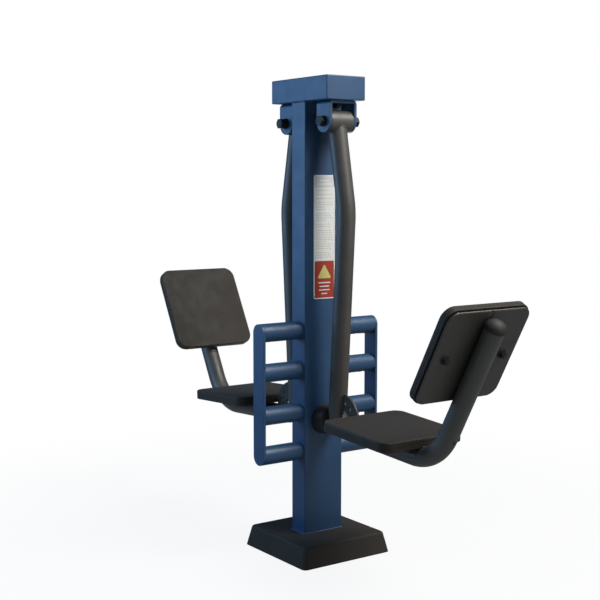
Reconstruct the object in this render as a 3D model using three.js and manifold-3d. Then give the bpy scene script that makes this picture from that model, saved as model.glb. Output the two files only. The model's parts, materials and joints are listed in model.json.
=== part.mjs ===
// Outdoor leg press with two stations: a post with a beam on top, foot rungs on its two
// narrow sides, and a swing seat hanging from the beam on each broad side.
// Millimetres, +Z up. The origin is on the ground under the middle of the post.
// +X points to the right station, Y runs along the foot rungs.

import * as THREE from 'three';
import { mergeVertices } from 'three/addons/utils/BufferGeometryUtils.js';
import Module from 'manifold-3d';

const wasm = await Module();
wasm.setup();

// ---- driving dimensions -------------------------------------------------------------

const GAP = 0.3; // clearance kept between pieces that touch
const HOLE_FIT = 0.5; // added to a bolt's radius for its hole
const OVERLAP = 1; // how far solids that are joined or cut run into each other
const TOTAL_HEIGHT = 1645;

const TUBE = { outer: 31.75, inner: 28.75 }; // 63.5 mm tube, 3 mm wall
const POST = { depth: 80, width: 160, wall: 3, corner: 4 };
const BEAM = { length: 326, height: 80, endPlate: 4 };
const BASE_PLATE = { side: 300, thickness: 12, corner: 12, boltAt: 115 };
const ANCHOR = { radius: 8, washer: 15, washerThickness: 3, acrossFlats: 24, head: 10, foot: 0.5 };
const COVER = { bottom: 370, top: 340, height: 72, wall: 3, corner: 14, fit: 1 };

const STRIP = { outerFace: 245.5, thickness: 10 };
const RUNG_HEIGHTS = [362, 499, 647, 785];

const PIVOT = { x: 110, z: 1496 };
const BRACKET = { width: 76, outerHalf: 56, thickness: 10, bend: 14 };
const BRACKET_BOLT = { radius: 8, flange: 15, flangeThickness: 2.5, acrossFlats: 24, head: 10, above: 26 };
const PIVOT_PIN = { radius: 12.5, flange: 19, flangeThickness: 3, acrossFlats: 32, head: 17, nut: 26,
  tip: 1 };
const HUB = { outer: 38.25, inner: 31, length: 91 };
const BEARING = { width: 17, recess: 1 };

const BUMPER = { z: 474, backRadius: 54, frontRadius: 46.5, front: 90, edge: 5, backEdge: 2 };
const BUMPER_BOLT = { radius: 5, recess: 15, recessRadius: 13, washer: 11, washerThickness: 2,
  acrossFlats: 16, head: 7, inside: 12 };
const SIGN = { bottom: 893, top: 1318, width: 90, thickness: 1.5, corner: 7 };

// The bent tube of the right station, as corners of its centre line in the XZ plane.
const KNEE = { x: 167, z: 1197, bend: 280 };
const FRONT_CORNER = { x: 118, z: 457, bend: 60 };
const BACK_CORNER = { x: 629, z: 428.5, bend: 171 };
const TUBE_END = { x: 873.6, z: 873.6 };

const GUSSET = { outer: 88.5, inner: 34, thickness: 8, holeRing: 61, hole: 7.2, holeDegrees: [19, 49, 79] };
const SEAT = { side: 334, thickness: 36, corner: 38, edge: 7, x: 409, relief: 1 };
const SEAT_PLATE = { side: 200, thickness: 4.7, corner: 10 };
const BACK = { side: 334, pad: 26.5, corner: 41, edge: 7, seam: 0.8, up: 385 };
const BACK_BOARD = { side: 326, thickness: 9.5, corner: 37, edge: 2 };
const BACK_STUD = { across: 114, up: -1, disc: 15, discThickness: 3, acrossFlats: 21, nut: 11, stud: 6,
  tip: 2 };
const END_CAP = { radius: 34.2, skirt: 5, dome: 27, plug: 20, plugEdge: 2, plugFit: 2.5, skirtFit: 0.8 };
const DRAIN_PLUG = { radius: 5.5, proud: 5 };

// How finely round things are cut into flats.
const ROUND_SIDES = 16;
const BORE_SIDES = 8;
const CORNER_STEPS = 3;
const ARC_STEPS = 8;
const RIM_STEPS = 2;
const DOME_STEPS = 4;
const BEND_STEP = Math.PI / 12;

// ---- finishes -----------------------------------------------------------------------

function finish(color, roughness, metalness) {
  return new THREE.MeshStandardMaterial({ color, roughness, metalness });
}

const BLUE_PAINT = finish(0x2c4a72, 0.45, 0.1);
const GREY_PAINT = finish(0x3b3a38, 0.4, 0.4);
const PAD_RUBBER = finish(0x45433f, 0.7, 0);
const BLACK_PLASTIC = finish(0x141414, 0.5, 0);
const BLACK_RUBBER = finish(0x101010, 0.85, 0);
const BLACK_STEEL = finish(0x1b1b1b, 0.35, 0.8);
const BRIGHT_STEEL = finish(0xb9bcc0, 0.25, 1);
const ZINC_STEEL = finish(0x8f9497, 0.45, 0.9);
const SIGN_FACE = finish(0xdcdbd2, 0.4, 0);

// ---- joining and cutting ------------------------------------------------------------

function solid(geometry) {
  const bare = geometry.clone();
  bare.deleteAttribute('normal');
  bare.deleteAttribute('uv');
  const merged = mergeVertices(bare, 1e-4);
  return new wasm.Manifold(new wasm.Mesh({
    numProp: 3,
    vertProperties: new Float32Array(merged.attributes.position.array),
    triVerts: new Uint32Array(merged.index.array),
  }));
}

function geometryOf(manifold) {
  const mesh = manifold.getMesh();
  const geometry = new THREE.BufferGeometry();
  geometry.setAttribute('position', new THREE.BufferAttribute(mesh.vertProperties, 3));
  geometry.setIndex(new THREE.BufferAttribute(mesh.triVerts, 1));
  return geometry;
}

function cut(geometry, ...tools) {
  return geometryOf(tools.reduce((left, tool) => left.subtract(solid(tool)), solid(geometry)));
}

function join(geometry, ...others) {
  return geometryOf(others.reduce((sum, other) => sum.add(solid(other)), solid(geometry)));
}

function common(geometry, other) {
  return geometryOf(solid(geometry).intersect(solid(other)));
}

// ---- basic shapes -------------------------------------------------------------------

const AXIS = {
  x: new THREE.Vector3(1, 0, 0),
  y: new THREE.Vector3(0, 1, 0),
  z: new THREE.Vector3(0, 0, 1),
};

// Turns a shape drawn in XY and raised along Z so that it runs along X, Y or stays on Z.
function runAlong(geometry, direction) {
  const bases = {
    x: [AXIS.y, AXIS.z, AXIS.x],
    y: [AXIS.z, AXIS.x, AXIS.y],
    z: [AXIS.x, AXIS.y, AXIS.z],
  };
  return geometry.applyMatrix4(new THREE.Matrix4().makeBasis(...bases[direction]));
}

// A shape drawn in the XZ plane, raised to both sides of it.
function standing(shape, thickness, options = {}) {
  const geometry = raised(shape, thickness, options).translate(0, 0, -thickness / 2);
  return geometry.applyMatrix4(new THREE.Matrix4().makeBasis(AXIS.x, AXIS.z, AXIS.y.clone().negate()));
}

function raised(shape, height, options = {}) {
  const settings = { depth: height, bevelEnabled: false, curveSegments: CORNER_STEPS, ...options };
  return new THREE.ExtrudeGeometry(shape, settings);
}

function roundPoints(radius, sides) {
  const points = [];
  for (let i = 0; i < sides; i++) {
    const angle = (i / sides) * 2 * Math.PI;
    points.push(new THREE.Vector2(radius * Math.cos(angle), radius * Math.sin(angle)));
  }
  return points;
}

function holeAt(x, y, radius) {
  const centre = new THREE.Vector2(x, y);
  return new THREE.Path(roundPoints(radius, BORE_SIDES).map((point) => point.add(centre)));
}

function ringShape(outer, inner, boreSides = BORE_SIDES) {
  const shape = new THREE.Shape(roundPoints(outer, ROUND_SIDES));
  shape.holes.push(new THREE.Path(roundPoints(inner, boreSides)));
  return shape;
}

function roundedRectangle(width, height, corner, Kind = THREE.Shape) {
  const x = width / 2 - corner;
  const y = height / 2 - corner;
  const shape = new Kind();
  shape.absarc(x, y, corner, 0, Math.PI / 2);
  shape.absarc(-x, y, corner, Math.PI / 2, Math.PI);
  shape.absarc(-x, -y, corner, Math.PI, 1.5 * Math.PI);
  shape.absarc(x, -y, corner, 1.5 * Math.PI, 2 * Math.PI);
  return shape;
}

function rectangularTube(width, height, wall, corner) {
  const shape = roundedRectangle(width, height, corner);
  shape.holes.push(roundedRectangle(width - 2 * wall, height - 2 * wall, corner - wall, THREE.Path));
  return shape;
}

// A round bar along an axis from one place to another.
function bar(radius, from, to, direction, sides = ROUND_SIDES) {
  const shape = new THREE.Shape(roundPoints(radius, sides));
  return runAlong(raised(shape, to - from).translate(0, 0, from), direction);
}

function hexBar(acrossFlats, from, to, direction) {
  return bar(acrossFlats / Math.sqrt(3), from, to, direction, 6);
}

function pipe(outer, inner, from, to, direction, boreSides = BORE_SIDES) {
  return runAlong(raised(ringShape(outer, inner, boreSides), to - from).translate(0, 0, from), direction);
}

// A flat board with rounded corners and rounded edges, lying in XY with its top at z = 0.
function softBoard(side, thickness, corner, edge) {
  const inner = side - 2 * edge;
  const shape = roundedRectangle(inner, inner, corner - edge);
  return new THREE.ExtrudeGeometry(shape, {
    depth: thickness - 2 * edge,
    bevelThickness: edge,
    bevelSize: edge,
    bevelSegments: 2,
    curveSegments: CORNER_STEPS,
  }).translate(0, 0, edge - thickness);
}

function piece(name, geometry, material) {
  const mesh = new THREE.Mesh(geometry, material);
  mesh.name = name;
  return mesh;
}

// ---- the bent tube's path -----------------------------------------------------------

// Straight runs joined by arcs in the XZ plane. Each bend's arc is walked in equal steps,
// and a straight run is a single step.
class BentPath extends THREE.Curve {
  constructor(start, corners, end) {
    super();
    this.stations = [];
    const points = [start, ...corners, end].map((p) => new THREE.Vector3(p.x, 0, p.z));
    for (let i = 0; i < corners.length; i++) {
      const before = points[i + 1].clone().sub(points[i]).normalize();
      const after = points[i + 2].clone().sub(points[i + 1]).normalize();
      if (i === 0) this.stations.push({ point: points[0], tangent: before });
      this.addBend(points[i + 1], before, after, corners[i].bend);
      if (i === corners.length - 1) this.stations.push({ point: points[i + 2], tangent: after });
    }
  }

  addBend(corner, before, after, radius) {
    const turn = before.angleTo(after);
    const setBack = radius * Math.tan(turn / 2);
    const axis = before.clone().cross(after).normalize();
    const toCentre = axis.clone().cross(before);
    const centre = corner.clone().addScaledVector(before, -setBack).addScaledVector(toCentre, radius);
    const steps = Math.max(2, Math.ceil(turn / BEND_STEP));
    for (let i = 0; i <= steps; i++) {
      const angle = (turn * i) / steps;
      const tangent = before.clone().applyAxisAngle(axis, angle);
      const point = toCentre.clone().applyAxisAngle(axis, angle).multiplyScalar(-radius).add(centre);
      this.stations.push({ point, tangent });
    }
  }

  get steps() {
    return this.stations.length - 1;
  }

  getPointAt(u) {
    return this.stations[Math.round(u * this.steps)].point.clone();
  }

  getTangentAt(u) {
    return this.stations[Math.round(u * this.steps)].tangent.clone();
  }
}

function sweep(shape, path) {
  return new THREE.ExtrudeGeometry(shape, { extrudePath: path, steps: path.steps, bevelEnabled: false });
}

// ---- places worked out from the dimensions ------------------------------------------

const POST_FACE = POST.depth / 2;
const BEAM_BOTTOM = TOTAL_HEIGHT - BEAM.height;
const EAR_INNER = BRACKET.outerHalf - BRACKET.thickness;
const TUBE_FLOOR = BASE_PLATE.thickness + GAP;

function slopeOf(from, to) {
  return Math.atan2(to.z - from.z, to.x - from.x);
}

const ARM_SLOPE = slopeOf(FRONT_CORNER, KNEE);
const SEAT_SLOPE = slopeOf(FRONT_CORNER, BACK_CORNER);
const BACK_SLOPE = slopeOf(BACK_CORNER, TUBE_END);

// The middle of the backrest, on the tube's centre line.
const BACK_MIDDLE = {
  x: BACK_CORNER.x + BACK.up * Math.cos(BACK_SLOPE),
  z: BACK_CORNER.z + BACK.up * Math.sin(BACK_SLOPE),
};

// ---- post, beam and base ------------------------------------------------------------

function postPieces() {
  const section = rectangularTube(POST.depth, POST.width, POST.wall, POST.corner);
  const post = raised(section, BEAM_BOTTOM - GAP - TUBE_FLOOR).translate(0, 0, TUBE_FLOOR);
  const bumperHole = bar(BUMPER_BOLT.radius + HOLE_FIT, -POST.depth, POST.depth, 'x');
  bumperHole.translate(0, 0, BUMPER.z);
  return [
    piece('post', cut(post, bumperHole), BLUE_PAINT),
    ...beamPieces(),
    basePlate(),
    ...anchorBolts(),
    baseCover(),
  ];
}

function beamPieces() {
  const middle = BEAM_BOTTOM + BEAM.height / 2;
  const tubeEnd = BEAM.length / 2 - BEAM.endPlate - GAP;
  const section = rectangularTube(POST.width, BEAM.height, POST.wall, POST.corner);
  const tube = runAlong(raised(section, 2 * tubeEnd).translate(0, 0, -tubeEnd), 'x');
  tube.translate(0, 0, middle);
  const holeRadius = BRACKET_BOLT.radius + HOLE_FIT;
  const holes = [-PIVOT.x, PIVOT.x].map((x) =>
    bar(holeRadius, BEAM_BOTTOM - OVERLAP, BEAM_BOTTOM + 2 * POST.wall, 'z').translate(x, 0, 0));
  const outline = roundedRectangle(POST.width, BEAM.height, POST.corner);
  const plates = [['right', 1], ['left', -1]].map(([side, sign]) => {
    const plate = runAlong(raised(outline, BEAM.endPlate).translate(0, 0, -BEAM.endPlate / 2), 'x');
    const mesh = piece(`beam_end_plate_${side}`, plate, BLUE_PAINT);
    mesh.position.set(sign * (BEAM.length - BEAM.endPlate) / 2, 0, middle);
    return mesh;
  });
  return [piece('cap_beam', cut(tube, ...holes), BLUE_PAINT), ...plates];
}

function basePlate() {
  const shape = roundedRectangle(BASE_PLATE.side, BASE_PLATE.side, BASE_PLATE.corner);
  const holeRadius = (ANCHOR.radius + HOLE_FIT) / Math.cos(Math.PI / BORE_SIDES);
  for (const [x, y] of squareCorners(BASE_PLATE.boltAt)) {
    shape.holes.push(holeAt(x, y, holeRadius));
  }
  return piece('base_plate', raised(shape, BASE_PLATE.thickness), ZINC_STEEL);
}

function squareCorners(half) {
  return [[half, half], [-half, half], [-half, -half], [half, -half]];
}

// The anchor bolts stop just above the ground: what goes on into the foundation isn't part of this.
function anchorBolts() {
  const { radius, washer, washerThickness, acrossFlats, head, foot } = ANCHOR;
  const seat = BASE_PLATE.thickness + GAP;
  const top = seat + washerThickness;
  return squareCorners(BASE_PLATE.boltAt).map(([x, y], i) => {
    const bolt = join(
      bar(radius, foot, seat + OVERLAP, 'z'),
      bar(washer, seat, top, 'z'),
      hexBar(acrossFlats, top - OVERLAP, top + head, 'z'),
    );
    const mesh = piece(`anchor_bolt_${i + 1}`, bolt, ZINC_STEEL);
    mesh.position.set(x, y, 0);
    return mesh;
  });
}

function tapered(geometry, bottom, top, height) {
  const position = geometry.attributes.position;
  for (let i = 0; i < position.count; i++) {
    const scale = 1 + (top / bottom - 1) * (position.getZ(i) / height);
    position.setXY(i, position.getX(i) * scale, position.getY(i) * scale);
  }
  return geometry;
}

function baseCover() {
  const { bottom, top, height, wall, corner, fit } = COVER;
  const outside = tapered(raised(roundedRectangle(bottom, bottom, corner), height), bottom, top, height);
  const inBottom = bottom - 2 * wall;
  const inTop = top - 2 * wall;
  const inHeight = height - wall;
  const inOutline = roundedRectangle(inBottom, inBottom, corner - wall);
  const inside = tapered(raised(inOutline, inHeight), inBottom, inTop, inHeight);
  const hole = roundedRectangle(POST.depth + 2 * fit, POST.width + 2 * fit, POST.corner + fit);
  const shell = cut(outside, inside, raised(hole, 2 * height));
  return piece('base_cover', shell, BLACK_PLASTIC);
}

// ---- foot ladders -------------------------------------------------------------------

function ladder(side, sign) {
  const lowest = RUNG_HEIGHTS[0];
  const highest = RUNG_HEIGHTS[RUNG_HEIGHTS.length - 1];
  // Both ends are round: the corner is a hair under half the width, so that its arcs stay apart.
  const shape = roundedRectangle(2 * TUBE.outer, highest - lowest + 2 * TUBE.outer, TUBE.outer - 0.01);
  const stripSolid = standing(shape, STRIP.thickness, { curveSegments: ARC_STEPS });
  const strip = piece(`${side}_ladder_strip`, stripSolid, BLUE_PAINT);
  strip.position.set(0, sign * (STRIP.outerFace - STRIP.thickness / 2), (lowest + highest) / 2);
  const near = POST.width / 2 + GAP;
  const far = STRIP.outerFace - STRIP.thickness - GAP;
  const rungs = RUNG_HEIGHTS.map((z, i) => {
    const rung = piece(`${side}_rung_${i + 1}`, pipe(TUBE.outer, TUBE.inner, near, far, 'y'), BLUE_PAINT);
    rung.rotation.z = sign > 0 ? 0 : Math.PI;
    rung.position.z = z;
    return rung;
  });
  return [strip, ...rungs];
}

// ---- pivot --------------------------------------------------------------------------

function pivotBracket(side) {
  const { width, outerHalf, thickness, bend } = BRACKET;
  const web = BEAM_BOTTOM - GAP;
  const bottom = PIVOT.z - width / 2;
  const u = new THREE.Shape();
  u.moveTo(-outerHalf, bottom);
  u.lineTo(-EAR_INNER, bottom);
  u.absarc(-EAR_INNER + bend - thickness, web - bend, bend - thickness, Math.PI, Math.PI / 2, true);
  u.absarc(EAR_INNER - bend + thickness, web - bend, bend - thickness, Math.PI / 2, 0, true);
  u.lineTo(EAR_INNER, bottom);
  u.lineTo(outerHalf, bottom);
  u.absarc(outerHalf - bend, web - bend, bend, 0, Math.PI / 2);
  u.absarc(-outerHalf + bend, web - bend, bend, Math.PI / 2, Math.PI);
  const bent = runAlong(raised(u, width).translate(0, 0, -width / 2), 'x').translate(PIVOT.x, 0, 0);
  const outline = new THREE.Shape();
  outline.moveTo(PIVOT.x + width / 2, web + OVERLAP);
  outline.lineTo(PIVOT.x - width / 2, web + OVERLAP);
  outline.absarc(PIVOT.x, PIVOT.z, width / 2, Math.PI, 2 * Math.PI);
  const trimmed = common(bent, standing(outline, 3 * outerHalf, { curveSegments: ARC_STEPS }));
  const pinHole = bar(PIVOT_PIN.radius + GAP, -2 * outerHalf, 2 * outerHalf, 'y')
    .translate(PIVOT.x, 0, PIVOT.z);
  const boltHole = bar(BRACKET_BOLT.radius + HOLE_FIT, web - 2 * thickness, web + OVERLAP, 'z')
    .translate(PIVOT.x, 0, 0);
  return piece(`${side}_pivot_bracket`, cut(trimmed, pinHole, boltHole), BLUE_PAINT);
}

function bracketBolt(side) {
  const { radius, flange, flangeThickness, acrossFlats, head, above } = BRACKET_BOLT;
  const seat = BEAM_BOTTOM - 2 * GAP - BRACKET.thickness;
  const bolt = join(
    bar(radius, seat - OVERLAP, seat + above, 'z'),
    bar(flange, seat - flangeThickness, seat, 'z'),
    hexBar(acrossFlats, seat - flangeThickness - head, seat - OVERLAP, 'z'),
  );
  const mesh = piece(`${side}_bracket_bolt`, bolt, BLACK_STEEL);
  mesh.position.x = PIVOT.x;
  return mesh;
}

function pivotPin(side) {
  const { radius, flange, flangeThickness, acrossFlats, head, nut, tip } = PIVOT_PIN;
  const face = BRACKET.outerHalf + GAP;
  const end = face + flangeThickness + nut + tip;
  const pin = join(
    bar(radius, -face - OVERLAP, end, 'y'),
    bar(flange, -face - flangeThickness, -face, 'y'),
    hexBar(acrossFlats, -face - flangeThickness - head, -face - OVERLAP, 'y'),
  );
  const nutSolid = cut(
    join(
      bar(flange, face, face + flangeThickness, 'y'),
      hexBar(acrossFlats, face + OVERLAP, face + flangeThickness + nut, 'y'),
    ),
    bar(radius + GAP, 0, 2 * end, 'y'),
  );
  const meshes = [
    piece(`${side}_pivot_bolt`, pin, BLACK_STEEL),
    piece(`${side}_pivot_nut`, nutSolid, BLACK_STEEL),
  ];
  for (const mesh of meshes) mesh.position.set(PIVOT.x, 0, PIVOT.z);
  return meshes;
}

// ---- bumper -------------------------------------------------------------------------

function bumperPieces(side) {
  const { backRadius, frontRadius, front, edge, backEdge } = BUMPER;
  const { radius, recess, recessRadius, washer, washerThickness, acrossFlats, head, inside } = BUMPER_BOLT;
  const thickness = front - POST_FACE - GAP;
  const rim = [];
  for (let i = 0; i <= RIM_STEPS; i++) {
    const angle = ((i / RIM_STEPS) * Math.PI) / 2;
    rim.push([frontRadius - edge * (1 - Math.cos(angle)), thickness - edge * (1 - Math.sin(angle))]);
  }
  const outline = [
    [radius + HOLE_FIT, 0],
    [backRadius - backEdge, 0],
    [backRadius, backEdge],
    ...rim,
    [recessRadius, thickness],
    [recessRadius, thickness - recess],
    [radius + HOLE_FIT, thickness - recess],
    [radius + HOLE_FIT, 0],
  ].map(([r, y]) => new THREE.Vector2(r, y));
  const turned = new THREE.LatheGeometry(outline, ROUND_SIDES);
  const bumper = piece(`${side}_bumper`, turned, BLACK_RUBBER);
  bumper.rotation.z = -Math.PI / 2;
  bumper.position.set(POST_FACE + GAP, 0, BUMPER.z);
  const seat = front - recess + GAP;
  const bolt = join(
    bar(radius, POST_FACE - inside, seat + OVERLAP, 'x', BORE_SIDES),
    bar(washer, seat, seat + washerThickness, 'x'),
    hexBar(acrossFlats, seat + OVERLAP, seat + washerThickness + head, 'x'),
  ).translate(0, 0, BUMPER.z);
  return [bumper, piece(`${side}_bumper_bolt`, bolt, BLACK_STEEL)];
}

// ---- swing frame --------------------------------------------------------------------

function hubPieces(side) {
  const { outer, inner, length } = HUB;
  const hub = pipe(outer, inner, -length / 2, length / 2, 'y', ROUND_SIDES);
  const from = length / 2 - BEARING.recess - BEARING.width;
  const race = pipe(inner - GAP, PIVOT_PIN.radius + GAP, from, from + BEARING.width, 'y', ROUND_SIDES);
  const meshes = [
    piece(`${side}_hub`, hub, GREY_PAINT),
    piece(`${side}_bearing_rear`, race, BRIGHT_STEEL),
    piece(`${side}_bearing_front`, race, BRIGHT_STEEL),
  ];
  meshes[2].rotation.x = Math.PI;
  for (const mesh of meshes) mesh.position.set(PIVOT.x, 0, PIVOT.z);
  return meshes;
}

const TUBE_PATH = new BentPath(PIVOT, [KNEE, FRONT_CORNER, BACK_CORNER], TUBE_END);

function swingTube(side) {
  const tube = sweep(ringShape(TUBE.outer, TUBE.inner), TUBE_PATH);
  const hubSpace = bar(HUB.outer + GAP, -HUB.length, HUB.length, 'y').translate(PIVOT.x, 0, PIVOT.z);
  return piece(`${side}_swing_tube`, cut(tube, hubSpace), GREY_PAINT);
}

// A quarter ring in the front bend, centred where the faces of the two runs would meet.
function gusset(side) {
  const opening = ARM_SLOPE - SEAT_SLOPE;
  const reach = (TUBE.outer + GAP) / Math.sin(opening / 2);
  const middle = (ARM_SLOPE + SEAT_SLOPE) / 2;
  const x = FRONT_CORNER.x + reach * Math.cos(middle);
  const z = FRONT_CORNER.z + reach * Math.sin(middle);
  const shape = new THREE.Shape();
  shape.absarc(0, 0, GUSSET.outer, SEAT_SLOPE, ARM_SLOPE);
  shape.absarc(0, 0, GUSSET.inner, ARM_SLOPE, SEAT_SLOPE, true);
  for (const degrees of GUSSET.holeDegrees) {
    const angle = SEAT_SLOPE + THREE.MathUtils.degToRad(degrees);
    const centre = new THREE.Vector2(Math.cos(angle), Math.sin(angle)).multiplyScalar(GUSSET.holeRing);
    shape.holes.push(holeAt(centre.x, centre.y, GUSSET.hole));
  }
  const web = standing(shape, GUSSET.thickness, { curveSegments: ARC_STEPS });
  const mesh = piece(`${side}_gusset`, web, GREY_PAINT);
  mesh.position.set(x, 0, z);
  return mesh;
}

// Places a board, drawn with its top at z = 0, over the tube: slope is the tube's, height is
// measured square to the tube's centre line.
function overTube(mesh, point, slope, height) {
  mesh.position.set(point.x - height * Math.sin(slope), 0, point.z + height * Math.cos(slope));
  mesh.rotation.y = -slope;
  return mesh;
}

function seatPieces(side) {
  const { thickness, corner, edge, relief } = SEAT;
  const middle = { x: SEAT.x, z: FRONT_CORNER.z + (SEAT.x - FRONT_CORNER.x) * Math.tan(SEAT_SLOPE) };
  const plateTop = TUBE.outer + GAP + SEAT_PLATE.thickness;
  const plateShape = roundedRectangle(SEAT_PLATE.side, SEAT_PLATE.side, SEAT_PLATE.corner);
  const plateSolid = raised(plateShape, SEAT_PLATE.thickness).translate(0, 0, -SEAT_PLATE.thickness);
  const plate = overTube(piece(`${side}_seat_plate`, plateSolid, GREY_PAINT), middle, SEAT_SLOPE, plateTop);
  const padSolid = softBoard(SEAT.side, thickness, corner, edge);
  const pad = piece(`${side}_seat_pad`, padSolid, PAD_RUBBER);
  overTube(pad, middle, SEAT_SLOPE, plateTop + GAP + thickness).updateMatrix();
  // The back bend starts to rise under the pad's rear edge, so the pad is relieved for it.
  const tubeInPad = sweep(new THREE.Shape(roundPoints(TUBE.outer + relief, ROUND_SIDES)), TUBE_PATH)
    .applyMatrix4(pad.matrix.clone().invert());
  pad.geometry = cut(padSolid, tubeInPad);
  return [plate, pad];
}

function backPieces(side) {
  const { pad, corner, edge, seam } = BACK;
  const boardFace = TUBE.outer + GAP + BACK_BOARD.thickness;
  // The cap on the tube's end is wider than the tube, so the board is relieved for it.
  const tubeEnd = Math.hypot(TUBE_END.x - BACK_MIDDLE.x, TUBE_END.z - BACK_MIDDLE.z);
  const capSpace = bar(END_CAP.radius + GAP, tubeEnd - END_CAP.skirt - OVERLAP, BACK_BOARD.side, 'x')
    .translate(0, 0, -boardFace);
  const boardSolid = cut(
    softBoard(BACK_BOARD.side, BACK_BOARD.thickness, BACK_BOARD.corner, BACK_BOARD.edge),
    capSpace,
  );
  const meshes = [
    overTube(piece(`${side}_back_board`, boardSolid, BLACK_PLASTIC), BACK_MIDDLE, BACK_SLOPE, boardFace),
    overTube(
      piece(`${side}_back_pad`, softBoard(BACK.side, pad, corner, edge), PAD_RUBBER),
      BACK_MIDDLE,
      BACK_SLOPE,
      boardFace + seam + pad,
    ),
  ];
  return [...meshes, ...backNuts(side)];
}

function backNuts(side) {
  const { across, up, disc, discThickness, acrossFlats, nut, stud, tip } = BACK_STUD;
  const nutSolid = join(
    bar(disc, -discThickness, 0, 'z'),
    hexBar(acrossFlats, -discThickness - nut, -OVERLAP, 'z'),
    bar(stud, -discThickness - nut - tip, -OVERLAP, 'z', BORE_SIDES),
  );
  return [['rear', across], ['front', -across]].map(([place, y]) => {
    const mesh = piece(`${side}_back_nut_${place}`, nutSolid, BLACK_STEEL);
    overTube(mesh, BACK_MIDDLE, BACK_SLOPE, TUBE.outer);
    mesh.translateX(up);
    mesh.position.y = y;
    return mesh;
  });
}

function endCap(side) {
  const { radius, skirt, dome, plug, plugEdge, plugFit, skirtFit } = END_CAP;
  const plugRadius = TUBE.inner - plugFit;
  const skirtInner = TUBE.outer + skirtFit;
  const outline = [
    [0, -plug],
    [plugRadius - plugEdge, -plug],
    [plugRadius, -plug + plugEdge],
    [plugRadius, GAP],
    [skirtInner, GAP],
    [skirtInner, -skirt],
    [radius, -skirt],
    [radius, 0],
  ].map(([r, y]) => new THREE.Vector2(r, y));
  for (let i = 1; i <= DOME_STEPS; i++) {
    const angle = ((i / DOME_STEPS) * Math.PI) / 2;
    const domeRadius = i === DOME_STEPS ? 0 : radius * Math.cos(angle);
    outline.push(new THREE.Vector2(domeRadius, dome * Math.sin(angle)));
  }
  const cap = piece(`${side}_end_cap`, new THREE.LatheGeometry(outline, ROUND_SIDES), BLACK_PLASTIC);
  cap.position.set(TUBE_END.x, 0, TUBE_END.z);
  cap.rotation.order = 'YXZ';
  cap.rotation.y = Math.PI / 2 - BACK_SLOPE;
  cap.rotation.x = Math.PI / 2;
  return cap;
}

// A plug in the drain hole low on the back of the bent tube, where the back bend ends.
function drainPlug(side) {
  const turn = BACK_SLOPE - SEAT_SLOPE;
  const along = BACK_CORNER.bend * Math.tan(turn / 2);
  const { radius, proud } = DRAIN_PLUG;
  const head = bar(radius, TUBE.outer + GAP, TUBE.outer + proud, 'z', BORE_SIDES);
  const mesh = piece(`${side}_drain_plug`, head, BLACK_PLASTIC);
  mesh.position.set(
    BACK_CORNER.x + along * Math.cos(BACK_SLOPE),
    0,
    BACK_CORNER.z + along * Math.sin(BACK_SLOPE),
  );
  mesh.rotation.y = Math.PI - BACK_SLOPE;
  return mesh;
}

// ---- the whole ----------------------------------------------------------------------

// Everything of one station, drawn for the right one; the left one is turned half a circle.
function station(side) {
  const group = new THREE.Group();
  group.add(
    pivotBracket(side),
    bracketBolt(side),
    ...pivotPin(side),
    ...bumperPieces(side),
    ...hubPieces(side),
    swingTube(side),
    gusset(side),
    ...seatPieces(side),
    ...backPieces(side),
    endCap(side),
    drainPlug(side),
  );
  return group;
}

function sign() {
  const height = SIGN.top - SIGN.bottom;
  const board = runAlong(raised(roundedRectangle(SIGN.width, height, SIGN.corner), SIGN.thickness), 'x');
  const mesh = piece('sign', board, SIGN_FACE);
  mesh.position.set(POST_FACE + GAP, 0, SIGN.bottom + height / 2);
  return mesh;
}

const legPress = new THREE.Group();
const leftStation = station('left');
leftStation.rotation.z = Math.PI;
legPress.add(...postPieces(), ...ladder('front', -1), ...ladder('rear', 1), sign());
legPress.add(station('right'), leftStation);
legPress.updateMatrixWorld(true);

export default legPress;
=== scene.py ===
"""Outdoor double-station leg press: the finished look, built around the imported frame. Metres, +Z up."""

import json
import math
import random

import bmesh
import bpy
from mathutils import Matrix, Vector

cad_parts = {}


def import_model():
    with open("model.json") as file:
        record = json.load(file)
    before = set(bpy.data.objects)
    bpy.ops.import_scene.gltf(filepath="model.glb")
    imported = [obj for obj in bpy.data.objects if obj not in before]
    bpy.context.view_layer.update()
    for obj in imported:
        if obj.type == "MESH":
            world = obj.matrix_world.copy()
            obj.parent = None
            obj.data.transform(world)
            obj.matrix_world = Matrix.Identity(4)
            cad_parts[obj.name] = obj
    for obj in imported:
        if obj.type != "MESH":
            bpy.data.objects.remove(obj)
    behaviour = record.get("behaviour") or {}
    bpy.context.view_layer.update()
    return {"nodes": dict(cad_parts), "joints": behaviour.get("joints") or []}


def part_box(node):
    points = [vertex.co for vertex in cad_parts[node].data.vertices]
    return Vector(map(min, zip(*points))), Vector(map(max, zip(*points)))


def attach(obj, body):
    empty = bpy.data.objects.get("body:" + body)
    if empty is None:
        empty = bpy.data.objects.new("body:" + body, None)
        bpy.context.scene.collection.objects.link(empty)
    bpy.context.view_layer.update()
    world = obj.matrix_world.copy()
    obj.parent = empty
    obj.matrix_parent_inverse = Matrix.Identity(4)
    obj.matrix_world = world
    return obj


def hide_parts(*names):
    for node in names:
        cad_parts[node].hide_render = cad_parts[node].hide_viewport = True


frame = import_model()

# ---- driving dimensions that the boxes of the nodes don't give ------------------------------

TUBE_RADIUS = 0.03175
TUBE_WALL = 0.003
BRACKET_THICKNESS = 0.010
BRACKET_BEND = 0.014
POST_WALL = 0.003
POST_CORNER = 0.004
SIDES = 72

# The bent tube of the right station: corners of its centre line in XZ, with the bend radius.
KNEE = (0.167, 1.197, 0.280)
FRONT_CORNER = (0.118, 0.457, 0.060)
BACK_CORNER = (0.629, 0.4285, 0.171)
TUBE_END = (0.8736, 0.8736, 0)

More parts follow.
